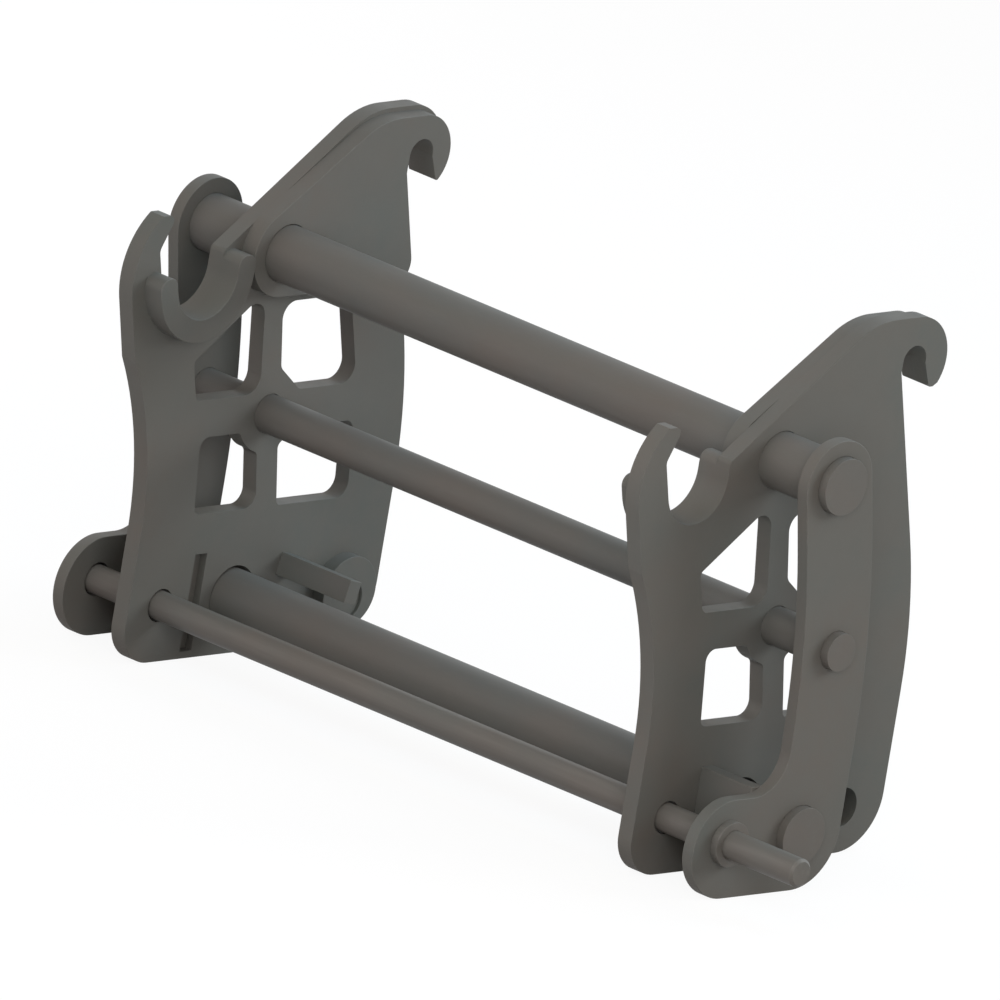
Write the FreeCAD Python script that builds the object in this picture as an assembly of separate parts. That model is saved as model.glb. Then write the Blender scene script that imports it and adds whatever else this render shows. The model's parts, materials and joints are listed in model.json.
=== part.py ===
import FreeCAD, Part
import math
import os

os.makedirs("parts", exist_ok=True)

# A loader adapter frame: two side plates joined by three cross bars, with a link plate standing outside each.
# x runs across the frame, y runs back towards the loader and z is up; all lengths are millimetres.
# The origin is the middle of the top cross bar. Places in a plate's own plane are (y, z).

# Across the frame, measured out from its middle
plate_outer = 391.0
plate_thickness = 20.0
doubler_thickness = 20.0
saddle_width = 25.0
boss_height = 16.0
pocket_width = 75.0
link_thickness = 15.0
bar_overhang = 10.0

plate_inner = plate_outer - plate_thickness
link_inner = plate_outer + pocket_width
link_outer = link_inner + link_thickness
bar_end = link_outer + bar_overhang

# Centres in the plane of the plates
top_bar = (0.0, 0.0)
middle_bar = (36.0, -188.0)
bottom_bar = (25.5, -392.5)
rod_centre = (-84.0, -392.5)
lock_hole = (190.0, -405.0)
hook_centre = (186.0, 94.0)
saddle_centre = (-122.0, -17.5)

# Bars, rod and holes
main_bar_radius = 63.5 / 2
middle_bar_radius = 42.4 / 2
rod_radius = 16.0
rod_hole_radius = 18.5
lock_hole_radius = 22.0
boss_centre = (193.5, -397.0)
boss_radius = 40.0
socket_recess = 3.0
socket_thickness = 8.0
socket_radius = 23.5
bar_fit = 0.1
bar_slack = 0.4

# The bottom cross bar lies low and forward in a wide hole of the side plate
wide_hole = (26.6, -391.0)
wide_hole_radius = 33.8

# Levels and edges of the side plate
base_level = -456.0
plate_front = -133.0
plate_rear = 251.5
rear_lean = math.radians(16.86)
rear_bend_level = -191.0
rear_bend_radius = 596.0
front_foot_round = 42.5
rear_foot_round = 63.0
waist_top = (-188.0, -111.0)
waist_foot_level = -205.5
waist_round = 400.0
crest_start = 118.5
crest_round = 95.0
shoulder_level = 3.5
shoulder_round = 8.0

# The windows share their upper and lower edges in pairs
upper_window_top = -63.0
upper_window_foot = -164.5
lower_window_top = -207.0
lower_window_foot = -294.0
web_ring_radius = 43.5
web_join_round = 8.0
web_cut_level = -138.0
web_cut_round = 12.0

# The hook that hangs on the loader's bar, and the saddle that takes the implement's tube
hook_radius = 49.5
hook_gap_radius = 17.5
hook_tip_level = 63.0
hook_tip_inner = 29.0
hook_tip_outer = 35.0
hook_tip_round = 3.0
hook_tip_rise = 12.0
throat_drop = 3.0
mouth_drop = 35.0
saddle_radius = 45.0
nose_radius = 90.0
nose_lean = math.radians(16.5)
tip_level = 50.5
lip_top = -159.5
lip_top_round = 7.0
lip_bulge = (-178.0, 12.0)
lip_bulge_round = 10.0

# The saddle ring
ring_width = 25.5
ring_leg = 22.5
ring_end_round = 11.5

# The doubler's edges
doubler_round = 49.0
doubler_foot_level = -53.0
doubler_foot_round = 25.0
doubler_hook_radius = 44.5
doubler_slope = math.radians(33.7)
doubler_step = 2.4

# The link plate
link_half_width = 49.0
link_lean = math.radians(13.1)
link_straight = 70.0
link_bend_radius = 1020.0
foot_front = -134.0
foot_top = -345.5
foot_round = 55.2
heel_round = 64.0
instep_round = 45.5

# The stop plate stands in a slot of the side plate
stop_front = -41.5
stop_thickness = 18.0
stop_bottom = -448.0
stop_height = 108.5
stop_tab = 11.0
slot_fit = 0.1

# The guide bar leans back on the inner face
guide_corner = (95.0, -348.0)
guide_lean = math.radians(12.5)
guide_thickness = 18.0
guide_height = 25.5
guide_length = 103.0

# The lock rod, its collar and the cross hole for a linch pin at its far end
rod_handle_end = 594.0
rod_tail = 28.0
rod_chamfer = 3.0
linch_hole_radius = 5.0
linch_hole_inset = 13.0
collar_radius = 25.0
collar_width = 9.5
collar_gap = 0.2

# How far cutting shapes run past what they cut
past = 5.0
saddle_reach = saddle_radius + 60.0


def at(place):
    return FreeCAD.Vector(0, place[0], place[1])


def corner_arc(before, here, after):
    # Start, middle and end of the arc that rounds one corner.
    corner = at(here)
    towards_before = (at(before) - corner).normalize()
    towards_after = (at(after) - corner).normalize()
    half_angle = towards_before.getAngle(towards_after) / 2
    inwards = (towards_before + towards_after).normalize()
    run = here[2] / math.tan(half_angle)
    depth = here[2] / math.sin(half_angle) - here[2]
    return corner + towards_before * run, corner + inwards * depth, corner + towards_after * run


def outline(corners):
    # A flat face walked round its corners; a corner with a third number is rounded to that radius.
    edges = []
    ends = []
    for index, here in enumerate(corners):
        if len(here) == 3:
            start, middle, end = corner_arc(corners[index - 1], here, corners[(index + 1) % len(corners)])
            arc = Part.Arc(start, middle, end).toShape()
        else:
            start, end, arc = at(here), at(here), None
        ends.append((start, arc, end))
    for index, (start, arc, end) in enumerate(ends):
        last_end = ends[index - 1][2]
        if last_end.distanceToPoint(start) > 0.001:
            edges.append(Part.LineSegment(last_end, start).toShape())
        if arc:
            edges.append(arc)
    return Part.Face(Part.Wire(edges))


def slab(corners, start, end):
    face = outline(corners)
    face.translate(FreeCAD.Vector(start, 0, 0))
    return face.extrude(FreeCAD.Vector(end - start, 0, 0))


def disc(centre, radius, start, end):
    foot = FreeCAD.Vector(start, centre[0], centre[1])
    return Part.makeCylinder(radius, end - start, foot, FreeCAD.Vector(1, 0, 0))


def chamfered_disc(centre, radius, start, end, chamfer):
    solid = disc(centre, radius, start, end)
    rims = [edge for edge in solid.Edges if len(edge.Vertexes) == 1]
    return solid.makeChamfer(chamfer, rims)


def from_centre(centre, distance, angle):
    return (centre[0] + distance * math.cos(angle), centre[1] + distance * math.sin(angle))


def rear_line(level):
    # The leaning rear edge of the side plate, given by where it meets the vertical edge below.
    return plate_rear - (level - rear_bend_level) * math.tan(rear_lean)


def hook_gap(start, end, step):
    # The downward mouth of the hook with its round seat; step is how far the rear edge is set forward.
    wall = hook_centre[0] - hook_gap_radius
    throat = hook_centre[0] + hook_gap_radius
    wall_foot = rear_bend_level + (plate_rear - step - wall) / math.tan(rear_lean)
    bottom = hook_tip_level - mouth_drop
    beyond = hook_centre[0] + hook_radius + past
    mouth = [
        (wall, hook_centre[1]),
        (wall, wall_foot),
        (rear_line(bottom) - step, bottom),
        (beyond, bottom),
        (beyond, hook_tip_level + hook_tip_rise),
        (hook_centre[0] + hook_tip_outer, hook_tip_level),
        (hook_centre[0] + hook_tip_inner, hook_tip_level, hook_tip_round),
        (throat, hook_centre[1] - throat_drop),
        (throat, hook_centre[1]),
    ]
    return slab(mouth, start, end).fuse(disc(hook_centre, hook_gap_radius, start, end))


def saddle_gap(start, end):
    # The upward mouth of the saddle: a round seat, an upright rear wall and a front lip that leads a tube in.
    right = saddle_centre[0] + saddle_radius
    seat_side = from_centre(saddle_centre, saddle_radius, math.pi + nose_lean)
    mouth = [
        saddle_centre,
        (right, saddle_centre[1]),
        (right, saddle_centre[1] + saddle_reach),
        (saddle_centre[0] - saddle_reach, saddle_centre[1] + saddle_reach),
        (saddle_centre[0] - saddle_reach, tip_level),
        (lip_top, tip_level, lip_top_round),
        lip_bulge + (lip_bulge_round,),
        seat_side,
    ]
    return slab(mouth, start, end).fuse(disc(saddle_centre, saddle_radius, start, end))


def round_joins(window):
    # Rounds the corners where a window's outline runs into the ring of metal round the middle cross bar.
    joins = []
    for edge in window.Edges:
        first, last = edge.Vertexes[0].Point, edge.Vertexes[-1].Point
        distance = math.hypot(first.y - middle_bar[0], first.z - middle_bar[1])
        if abs(last.x - first.x) > past and abs(distance - web_ring_radius) < 0.01:
            joins.append(edge)
    return window.makeFillet(web_join_round, joins)


def windows(start, end):
    # Four weight-saving windows; a ring of metal is left round the middle cross bar.
    upper_front = [
        (-95.0, -119.0, 6.5),
        (0.0, -48.5, 16.0),
        (17.0, upper_window_foot, 20.0),
        (-81.5, upper_window_foot, 8.5),
    ]
    upper_rear = [
        (29.5, upper_window_top, 18.0),
        (135.0, upper_window_top, 18.0),
        (166.0, upper_window_foot, 19.0),
        (78.0, upper_window_foot, web_cut_round),
        (44.0, web_cut_level, web_cut_round),
    ]
    lower_front = [
        (-65.0, lower_window_top, 13.0),
        (23.0, lower_window_top),
        (40.5, lower_window_foot, 16.0),
        (-54.5, lower_window_foot, 8.5),
    ]
    lower_rear = [
        (55.0, lower_window_top),
        (172.0, lower_window_top, 13.0),
        (182.0, lower_window_foot, 17.0),
        (72.5, lower_window_foot, 6.5),
    ]
    ring = disc(middle_bar, web_ring_radius, start, end)
    cutters = [slab(upper_front, start, end), slab(upper_rear, start, end)]
    for shape in (lower_front, lower_rear):
        cutters.append(round_joins(slab(shape, start, end).cut(ring)))
    return cutters


def raised_hole(centre, radius, start, end):
    # A hole with some slack for a bar that rests on its lower edge.
    middle = (centre[0], centre[1] + bar_slack - bar_fit)
    return disc(middle, radius + bar_slack, start, end)


def plate_holes(start, end):
    return [
        raised_hole(top_bar, main_bar_radius, start, end),
        raised_hole(middle_bar, middle_bar_radius, start, end),
        disc(wide_hole, wide_hole_radius, start, end),
        disc(rod_centre, rod_hole_radius, start, end),
    ]


def link_holes(start, end):
    return [
        disc(top_bar, main_bar_radius + bar_fit, start, end),
        disc(middle_bar, middle_bar_radius + bar_fit, start, end),
        disc(bottom_bar, main_bar_radius + bar_fit, start, end),
        disc(rod_centre, rod_hole_radius, start, end),
    ]


def stop_outline(extra):
    front = stop_front - extra
    rear = stop_front + stop_thickness + extra
    bottom = stop_bottom - extra
    top = stop_bottom + stop_height + extra
    return [(front, bottom), (rear, bottom), (rear, top), (front, top)]


def make_side_plate():
    right = saddle_centre[0] + saddle_radius
    nose_side = from_centre(saddle_centre, nose_radius, math.pi + nose_lean)
    hook_top = hook_centre[1] + hook_radius
    body = [
        (plate_front, base_level, front_foot_round),
        (plate_rear, base_level, rear_foot_round),
        (plate_rear, rear_bend_level, rear_bend_radius),
        (rear_line(hook_centre[1]), hook_centre[1]),
        hook_centre,
        (hook_centre[0], hook_top),
        (crest_start, hook_top, crest_round),
        (right, shoulder_level, shoulder_round),
        (right, saddle_centre[1]),
        saddle_centre,
        nose_side,
        waist_top,
        (plate_front, waist_foot_level, waist_round),
    ]
    nose_box = [
        (saddle_centre[0], saddle_centre[1] - nose_radius),
        (saddle_centre[0], saddle_centre[1] + nose_radius),
        (saddle_centre[0] - nose_radius, saddle_centre[1] + nose_radius, nose_radius),
        (saddle_centre[0] - nose_radius, saddle_centre[1] - nose_radius, nose_radius),
    ]
    solid = slab(body, plate_inner, plate_outer)
    solid = solid.fuse(slab(nose_box, plate_inner, plate_outer))
    solid = solid.fuse(disc(hook_centre, hook_radius, plate_inner, plate_outer))
    low = plate_inner - past
    high = plate_outer + past
    cuts = windows(low, high) + plate_holes(low, high)
    cuts.append(hook_gap(low, high, 0.0))
    cuts.append(saddle_gap(low, high))
    cuts.append(disc(lock_hole, lock_hole_radius, low, high))
    cuts.append(slab(stop_outline(slot_fit), low, high))
    return solid.cut(cuts).removeSplitter()


def make_hook_doubler():
    start = plate_inner - doubler_thickness
    hook_top = hook_centre[1] + doubler_hook_radius
    shoulder = from_centre(top_bar, doubler_round, math.pi / 2 + doubler_slope)
    crest = (hook_top - doubler_round / math.cos(doubler_slope)) / math.tan(doubler_slope)
    body = [
        (0.0, -doubler_round),
        (rear_line(doubler_foot_level) - doubler_step, doubler_foot_level, doubler_foot_round),
        (rear_line(hook_centre[1]) - doubler_step, hook_centre[1]),
        hook_centre,
        (hook_centre[0], hook_top),
        (crest, hook_top, crest_round),
        shoulder,
    ]
    solid = slab(body, start, plate_inner)
    solid = solid.fuse(disc(top_bar, doubler_round, start, plate_inner))
    solid = solid.fuse(disc(hook_centre, doubler_hook_radius, start, plate_inner))
    low = start - past
    high = plate_inner + past
    cuts = [hook_gap(low, high, doubler_step), raised_hole(top_bar, main_bar_radius, low, high)]
    return solid.cut(cuts).removeSplitter()


def make_saddle_ring():
    # A thick half ring that widens the saddle's seat, with a short rounded leg at each end.
    start = plate_inner - saddle_width
    outer = saddle_radius + ring_width
    right_inner = saddle_centre[0] + saddle_radius
    right_outer = saddle_centre[0] + outer
    right_leg = [
        (right_inner, saddle_centre[1]),
        (right_outer, saddle_centre[1]),
        (right_outer, saddle_centre[1] + ring_leg, ring_end_round),
        (right_inner, saddle_centre[1] + ring_leg, ring_end_round),
    ]
    side = math.pi + nose_lean
    left_inner = from_centre(saddle_centre, saddle_radius, side)
    left_outer = from_centre(saddle_centre, outer, side)
    up_the_leg = math.pi / 2 + nose_lean
    left_leg = [
        left_inner,
        from_centre(left_inner, ring_leg, up_the_leg) + (ring_end_round,),
        from_centre(left_outer, ring_leg, up_the_leg) + (ring_end_round,),
        left_outer,
    ]
    far = outer + past
    below = [
        saddle_centre,
        from_centre(saddle_centre, far * 1.2, side),
        (saddle_centre[0] - far, saddle_centre[1] - far),
        (saddle_centre[0] + far, saddle_centre[1] - far),
        (saddle_centre[0] + far, saddle_centre[1]),
    ]
    ring = disc(saddle_centre, outer, start, plate_inner)
    ring = ring.cut(disc(saddle_centre, saddle_radius, start - past, plate_inner + past))
    ring = ring.common(slab(below, start, plate_inner))
    ring = ring.fuse([slab(left_leg, start, plate_inner), slab(right_leg, start, plate_inner)])
    return ring.removeSplitter()


def make_link_plate():
    # The link's middle line leans, then bends upright; both long edges follow it at half a width.
    along = (math.sin(link_lean), -math.cos(link_lean))
    bend_run = link_straight + link_bend_radius * math.tan(link_lean / 2)
    lower_middle = bend_run * along[0]
    shift = link_half_width * math.tan(link_lean / 2)
    bend_level = bend_run * along[1]
    cap_corner = link_half_width * math.sqrt(2)
    rear_edge = lower_middle + link_half_width
    front_edge = lower_middle - link_half_width
    body = [
        (foot_front, base_level, foot_round),
        (rear_edge, base_level, heel_round),
        (rear_edge, bend_level + shift, link_bend_radius + link_half_width),
        from_centre(top_bar, cap_corner, link_lean + math.pi / 4) + (link_half_width,),
        from_centre(top_bar, cap_corner, link_lean + 3 * math.pi / 4) + (link_half_width,),
        (front_edge, bend_level - shift, link_bend_radius - link_half_width),
        (front_edge, foot_top, instep_round),
        (foot_front, foot_top, foot_round),
    ]
    solid = slab(body, link_inner, link_outer)
    return solid.cut(link_holes(link_inner - past, link_outer + past))


def make_stop_plate():
    return slab(stop_outline(0.0), plate_outer - stop_tab, link_inner)


def make_pin_boss():
    start = plate_inner - boss_height
    seat = start + socket_recess + socket_thickness
    ring = disc(boss_centre, boss_radius, start, plate_inner)
    socket = disc(lock_hole, socket_radius, start - past, seat)
    return ring.cut([socket, disc(lock_hole, lock_hole_radius, start, plate_inner + past)])


def make_socket_disc():
    # Closes the lock pin's hole towards the middle of the frame; it sits against a shoulder of the boss.
    start = plate_inner - boss_height + socket_recess
    return disc(lock_hole, socket_radius - bar_fit, start, start + socket_thickness)


def make_guide_bar():
    back = -guide_lean
    down = -math.pi / 2 - guide_lean
    top_rear = from_centre(guide_corner, guide_thickness, back)
    bottom_front = from_centre(guide_corner, guide_height, down)
    bottom_rear = from_centre(top_rear, guide_height, down)
    corners = [guide_corner, top_rear, bottom_rear, bottom_front]
    return slab(corners, plate_inner - guide_length, plate_inner)


def make_cross_bar(centre, radius):
    return disc(centre, radius, -bar_end, bar_end)


def make_lock_rod():
    tail_end = -link_outer - rod_tail
    solid = chamfered_disc(rod_centre, rod_radius, tail_end, rod_handle_end, rod_chamfer)
    foot = FreeCAD.Vector(tail_end + linch_hole_inset, rod_centre[0], rod_centre[1] - 2 * rod_radius)
    hole = Part.makeCylinder(linch_hole_radius, 4 * rod_radius, foot, FreeCAD.Vector(0, 0, 1))
    return solid.cut(hole)


def make_rod_collar():
    start = link_outer + collar_gap
    ring = disc(rod_centre, collar_radius, start, start + collar_width)
    return ring.cut(disc(rod_centre, rod_radius, start - past, start + collar_width + past))


def export(shape, name):
    shape.exportStep("parts/" + name + ".step")


mirrored_pairs = {
    "side_plate": make_side_plate(),
    "hook_doubler": make_hook_doubler(),
    "saddle_ring": make_saddle_ring(),
    "link_plate": make_link_plate(),
    "stop_plate": make_stop_plate(),
    "pin_boss": make_pin_boss(),
    "socket_disc": make_socket_disc(),
    "guide_bar": make_guide_bar(),
}
for name, shape in mirrored_pairs.items():
    export(shape, name + "_right")
    export(shape.mirror(FreeCAD.Vector(0, 0, 0), FreeCAD.Vector(1, 0, 0)), name + "_left")

export(make_cross_bar(top_bar, main_bar_radius), "top_cross_bar")
export(make_cross_bar(middle_bar, middle_bar_radius), "middle_cross_bar")
export(make_cross_bar(bottom_bar, main_bar_radius), "bottom_cross_bar")
export(make_lock_rod(), "lock_rod")
export(make_rod_collar(), "rod_collar")
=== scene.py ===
import json
import math

import bpy
from mathutils import Euler, Matrix, Vector


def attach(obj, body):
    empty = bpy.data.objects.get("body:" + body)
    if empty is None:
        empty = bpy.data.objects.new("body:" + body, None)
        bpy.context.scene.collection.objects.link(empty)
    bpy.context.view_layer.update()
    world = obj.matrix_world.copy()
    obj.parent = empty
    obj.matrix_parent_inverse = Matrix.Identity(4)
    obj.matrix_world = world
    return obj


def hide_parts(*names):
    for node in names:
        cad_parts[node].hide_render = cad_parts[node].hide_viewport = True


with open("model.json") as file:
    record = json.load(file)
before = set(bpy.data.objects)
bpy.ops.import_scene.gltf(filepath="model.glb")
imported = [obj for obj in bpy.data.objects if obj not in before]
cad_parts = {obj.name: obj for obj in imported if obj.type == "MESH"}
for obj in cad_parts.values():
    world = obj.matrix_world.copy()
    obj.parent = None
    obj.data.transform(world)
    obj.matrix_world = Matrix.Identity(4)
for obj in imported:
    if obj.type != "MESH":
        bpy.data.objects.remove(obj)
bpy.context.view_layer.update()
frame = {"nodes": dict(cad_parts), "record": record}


def report(text):
    print("stage:", text)


def linear(hexColour):  # sRGB hex to the linear colour that a socket takes
    values = [int(hexColour[i:i + 2], 16) / 255 for i in (0, 2, 4)]
    return [v / 12.92 if v <= 0.04045 else ((v + 0.055) / 1.055) ** 2.4 for v in values] + [1.0]


def node(tree, kind, settings=None, links=None):
    # adds one node: a setting is a socket by name or number, or else a property of the node,
    # and a link comes from a socket or from the first socket of a node
    made = tree.nodes.new(kind)
    for name, value in (settings or {}).items():
        if isinstance(name, int) or name in made.inputs:
            made.inputs[name].default_value = value
        else:
            setattr(made, name, value)
    for name, source in (links or {}).items():
        tree.links.new(source.outputs[0] if hasattr(source, "outputs") else source, made.inputs[name])
    return made


def grainScale(millimetres):  # noise scale whose lumps are about this wide
    return 1000.0 / millimetres


# an even matt dark grey; "drawnOut" stretches the pattern along the frame's x, y and z
plateCoat = {
    "name": "powderCoatedSteelPlate",
    "colour": "5f5e59",
    "cool": "5b5e5a",
    "warm": "635e58",
    "rubbed": "6a6964",
    "roughness": 0.55,
    "drawnOut": (1.0, 1.0, 1.0),
    "wornShare": 0.0,
}

# the same grey, thinner and rubbed a little lighter in patches, on the rounded rims of the plates
edgeCoat = {
    "name": "thinPowderCoatOnPlateEdges",
    "colour": "605f5a",
    "cool": "5c5f5b",
    "warm": "645f59",
    "rubbed": "706f6a",
    "roughness": 0.55,
    "drawnOut": (1.0, 1.0, 1.0),
    "wornShare": 0.4,
}

# slightly warmer and smoother, in faint streaks along the bar
barCoat = {
    "name": "powderCoatedDrawnBar",
    "colour": "5f5d58",
    "cool": "5b5d5a",
    "warm": "635d57",
    "rubbed": "6a6863",
    "roughness": 0.5,
    "drawnOut": (0.2, 1.0, 1.0),
    "wornShare": 0.12,
}

# rubbed lighter in long streaks by the holes that the rod slides through
rodCoat = {
    "name": "rubbedPaintOnSlidingRod",
    "colour": "625f5a",
    "cool": "5e605c",
    "warm": "665f58",
    "rubbed": "74716b",
    "roughness": 0.45,
    "drawnOut": (0.06, 1.0, 1.0),
    "wornShare": 0.35,
}

# the width of each pattern's lumps in millimetres, the band of its noise over which it comes in,
# and how much of it shows
coatGrain = {
    "drift": 140,  # the coat was sprayed in passes, so its tone wanders slowly
    "driftBand": (0.35, 0.65),
    "cloud": 22,
    "cloudBand": (0.3, 0.7),
    "evenShare": (0.25, 0.85),  # how far the coat's own colour covers the wandering one
    "duller": 0.05,
    "glossier": 0.04,
    "wear": 9,
    "wearBand": (0.5, 0.72),
    "speck": 2.4,  # powder specks are nearer 0.3 mm; drawn coarser so that they show
    "speckBand": (0.55, 0.75),
    "speckShare": 0.12,
    "peel": 3.0,  # orange peel is nearer 1.5 mm; drawn twice as coarse so that it shows
    "peelHeight": 0.00005,  # metres
    "peelStrength": 0.4,
    "dragLine": 2.6,  # lines left by the cutting flame, nearer 1 mm; drawn coarser so that they show
    "dragDrawnOut": (0.04, 1.0, 1.0),  # long through the plate's thickness
    "dragHeight": 0.00007,  # metres
    "dragStrength": 0.5,
    "rolledFace": (0.1, 0.6),  # a normal's share of x between a cut edge and a rolled face
}


def dragLines(tree, place):
    # only faces that look along the frame's y or z are cut edges; the rolled faces look along x
    acrossPlate = node(tree, "ShaderNodeMapping", {"Scale": coatGrain["dragDrawnOut"]}, {"Vector": place})
    lines = node(tree, "ShaderNodeTexNoise",
                 {"Scale": grainScale(coatGrain["dragLine"]), "Detail": 1.0}, {"Vector": acrossPlate})
    facing = node(tree, "ShaderNodeSeparateXYZ", None,
                  {"Vector": node(tree, "ShaderNodeNewGeometry").outputs["True Normal"]})
    sideways = node(tree, "ShaderNodeMath", {"operation": "ABSOLUTE"}, {0: facing.outputs["X"]})
    cutSide, rolledSide = coatGrain["rolledFace"]
    onEdges = node(tree, "ShaderNodeMapRange",
                   {"From Min": cutSide, "From Max": rolledSide, "To Min": 1.0, "To Max": 0.0},
                   {"Value": sideways})
    return node(tree, "ShaderNodeMath", {"operation": "MULTIPLY"}, {0: lines, 1: onEdges})


def powderCoat(coat, cutEdges=False):
    # steel under a baked matt powder coat: one even grey to the eye, which wanders a little cooler
    # and warmer, with orange peel in the gloss and a thinner, rubbed coat where hands and pins reach
    material = bpy.data.materials.new(coat["name"])
    material.use_nodes = True
    tree = material.node_tree
    tree.nodes.clear()
    place = node(tree, "ShaderNodeTexCoord").outputs["Object"]
    drawnOut = node(tree, "ShaderNodeMapping", {"Scale": coat["drawnOut"]}, {"Vector": place})

    drift = node(tree, "ShaderNodeTexNoise",
                 {"Scale": grainScale(coatGrain["drift"]), "Detail": 2.0}, {"Vector": place})
    cloud = node(tree, "ShaderNodeTexNoise",
                 {"Scale": grainScale(coatGrain["cloud"]), "Detail": 4.0}, {"Vector": drawnOut})
    speck = node(tree, "ShaderNodeTexNoise",
                 {"Scale": grainScale(coatGrain["speck"]), "Detail": 2.0}, {"Vector": drawnOut})
    wear = node(tree, "ShaderNodeTexNoise",
                {"Scale": grainScale(coatGrain["wear"]), "Detail": 5.0}, {"Vector": drawnOut})

    driftLow, driftHigh = coatGrain["driftBand"]
    cloudLow, cloudHigh = coatGrain["cloudBand"]
    wearLow, wearHigh = coatGrain["wearBand"]
    speckLow, speckHigh = coatGrain["speckBand"]
    leastEven, mostEven = coatGrain["evenShare"]
    warmShare = node(tree, "ShaderNodeMapRange",
                     {"From Min": driftLow, "From Max": driftHigh}, {"Value": drift})
    evenShare = node(tree, "ShaderNodeMapRange",
                     {"From Min": cloudLow, "From Max": cloudHigh, "To Min": leastEven, "To Max": mostEven},
                     {"Value": cloud})
    wornShare = node(tree, "ShaderNodeMapRange",
                     {"From Min": wearLow, "From Max": wearHigh, "To Max": coat["wornShare"]},
                     {"Value": wear})
    speckShare = node(tree, "ShaderNodeMapRange",
                      {"From Min": speckLow, "From Max": speckHigh, "To Max": coatGrain["speckShare"]},
                      {"Value": speck})

    # a Mix node for colours has its factor in socket 0, its colours in 6 and 7 and its result in output 2
    wandering = node(tree, "ShaderNodeMix",
                     {"data_type": "RGBA", 6: linear(coat["cool"]), 7: linear(coat["warm"])}, {0: warmShare})
    even = node(tree, "ShaderNodeMix", {"data_type": "RGBA", 7: linear(coat["colour"])},
                {0: evenShare, 6: wandering.outputs[2]})
    worn = node(tree, "ShaderNodeMix", {"data_type": "RGBA", 7: linear(coat["rubbed"])},
                {0: wornShare, 6: even.outputs[2]})
    specked = node(tree, "ShaderNodeMix", {"data_type": "RGBA", 7: linear(coat["rubbed"])},
                   {0: speckShare, 6: worn.outputs[2]})

    dull = node(tree, "ShaderNodeMapRange",
                {"From Min": cloudLow, "From Max": cloudHigh,
                 "To Min": coat["roughness"] + coatGrain["duller"],
                 "To Max": coat["roughness"] - coatGrain["glossier"]}, {"Value": cloud})
    peel = node(tree, "ShaderNodeTexNoise",
                {"Scale": grainScale(coatGrain["peel"]), "Detail": 1.0}, {"Vector": place})
    skin = node(tree, "ShaderNodeBump",
                {"Strength": coatGrain["peelStrength"], "Distance": coatGrain["peelHeight"]},
                {"Height": peel})
    if cutEdges:
        skin = node(tree, "ShaderNodeBump",
                    {"Strength": coatGrain["dragStrength"], "Distance": coatGrain["dragHeight"]},
                    {"Height": dragLines(tree, place), "Normal": skin})

    shader = node(tree, "ShaderNodeBsdfPrincipled",
                  {"Metallic": 0.0, "IOR": 1.5, "Specular IOR Level": 0.25},
                  {"Base Color": specked.outputs[2], "Roughness": dull, "Normal": skin})
    node(tree, "ShaderNodeOutputMaterial", None, {"Surface": shader})
    return material


def makeMaterials():
    materials = {
        "painted_plate": powderCoat(plateCoat, cutEdges=True),
        "painted_bar": powderCoat(barCoat),
        "painted_rod": powderCoat(rodCoat),
        "edge": powderCoat(edgeCoat),
    }
    report("materials")
    return materials


# the cut edges of the plates and the turned ends of the bars, rounded a little by grinding and paint;
# the width of the rounding in millimetres, by the node's name with or without its side
edgeWidths = {
    "side_plate": 0.7,
    "hook_doubler": 0.7,
    "saddle_ring": 0.7,
    "link_plate": 0.7,
    "stop_plate": 0.7,
    "pin_boss": 0.6,
    "socket_disc": 0.4,
    "guide_bar": 0.7,
    "top_cross_bar": 0.4,
    "middle_cross_bar": 0.4,
    "bottom_cross_bar": 0.4,
    "lock_rod": 0.5,
    "rod_collar": 0.6,
}

softEdges = {
    "steps": 2,
    "sharperThan": 32,  # degrees; facets of round stretches stay as they are
    "smoothWithin": 50,  # degrees
    "flatFaceWeight": 100,
    "edgeSlot": 1,  # the piece's second material
    "plateInside": 0.371,  # metres from the middle to where rings, doublers and bosses sit on the plates
    "seat": (-0.122, -0.0175, 0.0665),  # y, z and reach of the saddle's seat, flush on plate and ring
}

# what counts as one place on a mesh
meshLimits = {
    "mergeGap": 0.00001,  # metres between corners that become one
    "flatWithin": 0.5,  # degrees between triangles that become one face
    "inPlane": 0.00005,  # metres from a plane within which a corner lies in it
    "onCircle": 0.0005,  # metres past a circle within which a corner lies on it
}


# holes with clearance round a bar or the rod, in metres: the x of the face that the picture doesn't
# show, the hole there, and the radius it narrows to; shift puts its middle on the bar's
hiddenRims = {
    "side_plate_left": {"face": -0.391, "middle": (0.0266, -0.391), "radius": 0.0338,
                        "tightRadius": 0.03195, "shift": (-0.0011, -0.0015)},
    "side_plate_right": {"face": 0.371, "middle": (0.0266, -0.391), "radius": 0.0338,
                         "tightRadius": 0.03195, "shift": (-0.0011, -0.0015)},
    "link_plate_left": {"face": -0.481, "middle": (-0.084, -0.3925), "radius": 0.0185,
                        "tightRadius": 0.0166, "shift": (0.0, 0.0)},
}


def selectOnly(piece):
    bpy.ops.object.select_all(action="DESELECT")
    piece.select_set(True)
    bpy.context.view_layer.objects.active = piece


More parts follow.
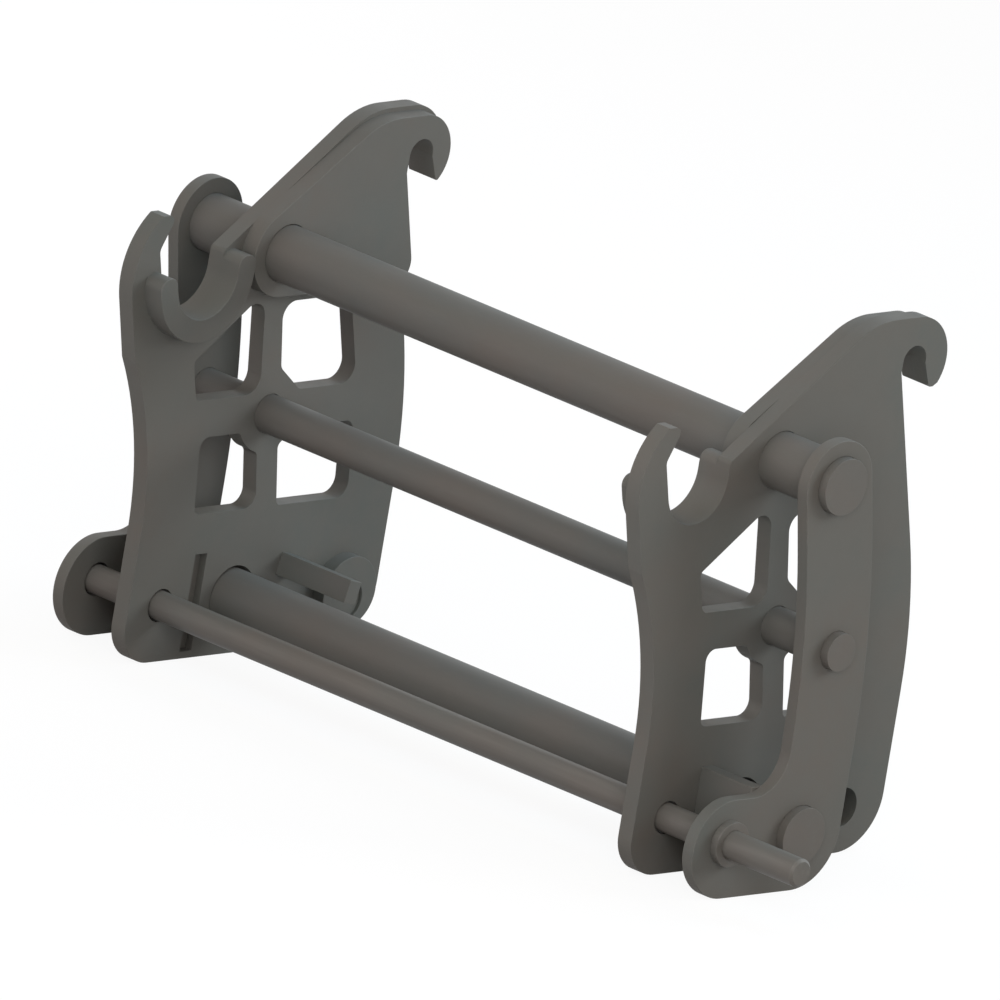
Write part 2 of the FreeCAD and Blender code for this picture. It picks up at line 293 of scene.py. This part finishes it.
def mergedCopy(cadName):
    # a CAD node's mesh is loose triangles, so the copy is merged before its edges are rounded
    selectOnly(frame["nodes"][cadName])
    bpy.ops.object.duplicate()
    piece = bpy.context.active_object
    piece.name = cadName + "_painted"
    piece.parent = None
    for key in [key for key in piece.keys() if key.startswith("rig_")]:
        del piece[key]
    selectOnly(piece)
    bpy.ops.object.mode_set(mode="EDIT")
    bpy.ops.mesh.select_all(action="SELECT")
    bpy.ops.mesh.remove_doubles(threshold=meshLimits["mergeGap"])
    bpy.ops.mesh.dissolve_limited(angle_limit=math.radians(meshLimits["flatWithin"]))
    bpy.ops.mesh.normals_make_consistent(inside=False)
    bpy.ops.object.mode_set(mode="OBJECT")
    return piece


def narrowHiddenRim(piece):
    # a flame-cut hole narrows on its way through the plate; the tight side is the one that faces
    # away from the picture, so the clearance shows and no daylight comes past the bar
    rim = hiddenRims[piece.name.replace("_painted", "")]
    middleY, middleZ = rim["middle"]
    shiftY, shiftZ = rim["shift"]
    selectOnly(piece)
    bpy.ops.object.mode_set(mode="EDIT")
    bpy.ops.mesh.select_mode(type="VERT")
    bpy.ops.mesh.select_all(action="DESELECT")
    bpy.ops.object.mode_set(mode="OBJECT")
    reach = rim["radius"] + meshLimits["onCircle"]
    for vertex in piece.data.vertices:
        near = math.hypot(vertex.co.y - middleY, vertex.co.z - middleZ) < reach
        vertex.select = near and abs(vertex.co.x - rim["face"]) < meshLimits["inPlane"]
    bpy.ops.object.mode_set(mode="EDIT")
    share = rim["tightRadius"] / rim["radius"]
    bpy.ops.transform.resize(value=(1.0, share, share), center_override=(rim["face"], middleY, middleZ))
    bpy.ops.transform.translate(value=(0.0, shiftY, shiftZ))
    bpy.ops.object.mode_set(mode="OBJECT")


def openEdges(piece):
    # the sharp edges that the eye can see round; an edge pressed against the side plate stays as it is
    selectOnly(piece)
    bpy.ops.object.mode_set(mode="EDIT")
    bpy.ops.mesh.select_mode(type="EDGE")
    bpy.ops.mesh.select_all(action="DESELECT")
    bpy.ops.mesh.edges_select_sharp(sharpness=math.radians(softEdges["sharperThan"]))
    bpy.ops.object.mode_set(mode="OBJECT")
    seatY, seatZ, seatReach = softEdges["seat"]
    found = []
    for edge in piece.data.edges:
        ends = [piece.data.vertices[i].co for i in edge.vertices]
        onPlate = all(abs(abs(end.x) - softEdges["plateInside"]) < meshLimits["inPlane"] for end in ends)
        atSeat = all(math.hypot(end.y - seatY, end.z - seatZ) < seatReach for end in ends)
        pressed = onPlate and (atSeat or not piece.name.startswith("side_plate"))
        if edge.select and not pressed:
            found.append(edge.index)
    return found


def softenEdges(piece, width):
    rounded = openEdges(piece)
    weights = piece.data.attributes.new("bevel_weight_edge", "FLOAT", "EDGE")
    for index in rounded:
        weights.data[index].value = 1.0
    bevel = piece.modifiers.new("softEdge", "BEVEL")
    bevel.width = width / 1000
    bevel.segments = softEdges["steps"]
    bevel.limit_method = "WEIGHT"
    bevel.material = softEdges["edgeSlot"]
    bpy.ops.object.modifier_apply(modifier="softEdge")
    bpy.ops.object.shade_smooth_by_angle(angle=math.radians(softEdges["smoothWithin"]))
    # the big flat faces keep one even shade, and the rounding stays in the narrow bevels
    even = piece.modifiers.new("evenFaces", "WEIGHTED_NORMAL")
    even.weight = softEdges["flatFaceWeight"]
    even.keep_sharp = True
    bpy.ops.object.modifier_apply(modifier="evenFaces")


def finishPiece(cadName, slotName, materials):
    width = edgeWidths.get(cadName) or edgeWidths[cadName.rsplit("_", 1)[0]]
    piece = mergedCopy(cadName)
    piece.data.materials.clear()
    piece.data.materials.append(materials[slotName])
    piece.data.materials.append(materials["edge"] if slotName == "painted_plate" else materials[slotName])
    if cadName in hiddenRims:
        narrowHiddenRim(piece)
    softenEdges(piece, width)
    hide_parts(cadName)
    slidingNodes = frame["record"]["behaviour"]["bodies"]["lock_rod"]
    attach(piece, "lock_rod" if cadName in slidingNodes else "frame")


def finishAllPieces(materials):
    for part in frame["record"]["subparts"]:
        finishPiece(part["node"], part["material_slot"], materials)
    report("painted pieces")


studio = {
    "floorLevel": -0.456,  # metres
    "floorSize": 16.0,
    "floorColour": "9a9a98",  # how strongly the paper lights the frame from below
    "floorInGloss": 0.5,  # paint shows the floor half as white as the camera sees it
    "floorSeenWhite": 0.92,  # share of plain white that the camera sees; the rest keeps the shadow
    "skyLight": 0.57,
    "skyAbove": "ffeede",
    "skyBelow": "1c1a18",
    "skyBand": (-0.3, 0.8),  # from -1 straight down to 1 straight up, where the sky changes colour
    "tip": 13.1,  # degrees that the camera's upright leans against the frame's, about x
    "azimuth": 45.0,
    "elevation": 24.75,
    "pictureSize": 1000,  # pixels
    "pixel": 0.001064,  # metres to one pixel
    "originAt": (520.2, 351.1),  # where the frame's origin lies in the picture
    "cameraDistance": 4.0,
    "cameraReach": 30,  # metres
}

# place and width in metres, watts, colour; warmer and cooler lamps together come to nearly white,
# and the cool one above gives the tops of the hooks and bars their bluish tone
lamps = {
    "besideCamera": ((2.6, -2.3, 1.0), 2.0, 53, "fafbff"),
    "lowBesideCamera": ((3.3, -1.2, 0.5), 2.0, 4, "ffd0b8"),
    "front": ((-0.4, -3.4, 0.6), 2.6, 27, "ffe8f6"),
    "highFront": ((0.2, -2.8, 2.2), 2.0, 21, "daffff"),
    "highBehind": ((0.3, 2.2, 3.2), 2.0, 51, "a0d6ff"),
    "rightBehind": ((2.2, 2.8, 1.4), 2.0, 78, "f0f9ff"),
    "leftBehind": ((-3.3, 0.9, 0.45), 1.6, 38, "f6f6ff"),
}


def seenPlain(tree, inGloss):
    # 1 where the camera or glass looks at the background, which is then plain white, and inGloss
    # where a reflection does
    paths = node(tree, "ShaderNodeLightPath")
    direct = node(tree, "ShaderNodeMath", {"operation": "MAXIMUM"},
                  {0: paths.outputs["Is Camera Ray"], 1: paths.outputs["Is Transmission Ray"]})
    gloss = node(tree, "ShaderNodeMath", {"operation": "MULTIPLY", 1: inGloss},
                 {0: paths.outputs["Is Glossy Ray"]})
    return node(tree, "ShaderNodeMath", {"operation": "MAXIMUM"}, {0: direct, 1: gloss})


def makeFloor():
    bpy.ops.object.select_all(action="DESELECT")
    bpy.ops.mesh.primitive_plane_add(size=studio["floorSize"], location=(0, 0, studio["floorLevel"]))
    floor = bpy.context.active_object
    floor.name = "studioFloor"
    material = bpy.data.materials.new("paleStudioPaper")
    material.use_nodes = True
    tree = material.node_tree
    tree.nodes.clear()
    seen = seenPlain(tree, studio["floorInGloss"])
    paperColour = node(tree, "ShaderNodeMix",
                       {"data_type": "RGBA", 6: linear(studio["floorColour"]), 7: linear("ffffff")},
                       {0: seen})
    paper = node(tree, "ShaderNodeBsdfDiffuse", None, {"Color": paperColour.outputs[2]})
    white = node(tree, "ShaderNodeEmission", {"Color": linear("ffffff"), "Strength": 1.0})
    share = node(tree, "ShaderNodeMath",
                 {"operation": "MULTIPLY", 1: studio["floorSeenWhite"]}, {0: seen})
    mixed = node(tree, "ShaderNodeMixShader", None, {0: share, 1: paper, 2: white})
    node(tree, "ShaderNodeOutputMaterial", None, {"Surface": mixed})
    floor.data.materials.append(material)
    report("floor")


def makeWorld():
    # a soft warm sky, dark below; what the camera and reflections see is plain white
    world = bpy.data.worlds.new("studioWorld")
    bpy.context.scene.world = world
    world.use_nodes = True
    tree = world.node_tree
    tree.nodes.clear()
    height = node(tree, "ShaderNodeSeparateXYZ", None,
                  {"Vector": node(tree, "ShaderNodeTexCoord").outputs["Generated"]})
    skyLow, skyHigh = studio["skyBand"]
    upShare = node(tree, "ShaderNodeMapRange", {"From Min": skyLow, "From Max": skyHigh},
                   {"Value": height.outputs["Z"]})
    sky = node(tree, "ShaderNodeMix",
               {"data_type": "RGBA", 6: linear(studio["skyBelow"]), 7: linear(studio["skyAbove"])},
               {0: upShare})
    soft = node(tree, "ShaderNodeBackground", {"Strength": studio["skyLight"]}, {"Color": sky.outputs[2]})
    white = node(tree, "ShaderNodeBackground", {"Color": linear("ffffff"), "Strength": 1.0})
    mixed = node(tree, "ShaderNodeMixShader", None, {0: seenPlain(tree, 1.0), 1: soft, 2: white})
    node(tree, "ShaderNodeOutputWorld", None, {"Surface": mixed})


def makeLamps():
    for name, (place, width, watts, colour) in lamps.items():
        data = bpy.data.lights.new(name, "AREA")
        data.shape = "DISK"
        data.size = width
        data.energy = watts
        data.color = linear(colour)[:3]
        lamp = bpy.data.objects.new(name, data)
        bpy.context.scene.collection.objects.link(lamp)
        lamp.location = place
        lamp.rotation_euler = (-Vector(place)).to_track_quat("-Z", "Y").to_euler()
    report("lamps")


def makeCamera():
    # a parallel view, as in the photograph, with the frame leaning back a little
    data = bpy.data.cameras.new("photoCamera")
    data.type = "ORTHO"
    data.ortho_scale = studio["pictureSize"] * studio["pixel"]
    data.clip_end = studio["cameraReach"]
    camera = bpy.data.objects.new("photoCamera", data)
    bpy.context.scene.collection.objects.link(camera)
    upright = Euler((math.radians(90 - studio["elevation"]), 0, math.radians(studio["azimuth"]))).to_matrix()
    turned = Matrix.Rotation(math.radians(studio["tip"]), 3, "X") @ upright
    right, up, back = turned.col[0], turned.col[1], turned.col[2]
    centre = studio["pictureSize"] / 2
    shiftRight = (centre - studio["originAt"][0]) * studio["pixel"]
    shiftUp = (studio["originAt"][1] - centre) * studio["pixel"]
    middle = right * shiftRight + up * shiftUp + back * studio["cameraDistance"]
    camera.matrix_world = Matrix.Translation(middle) @ turned.to_4x4()
    bpy.context.scene.camera = camera
    report("camera")


finishAllPieces(makeMaterials())
makeFloor()
makeWorld()
makeLamps()
makeCamera()
bpy.context.scene.view_settings.view_transform = "Standard"
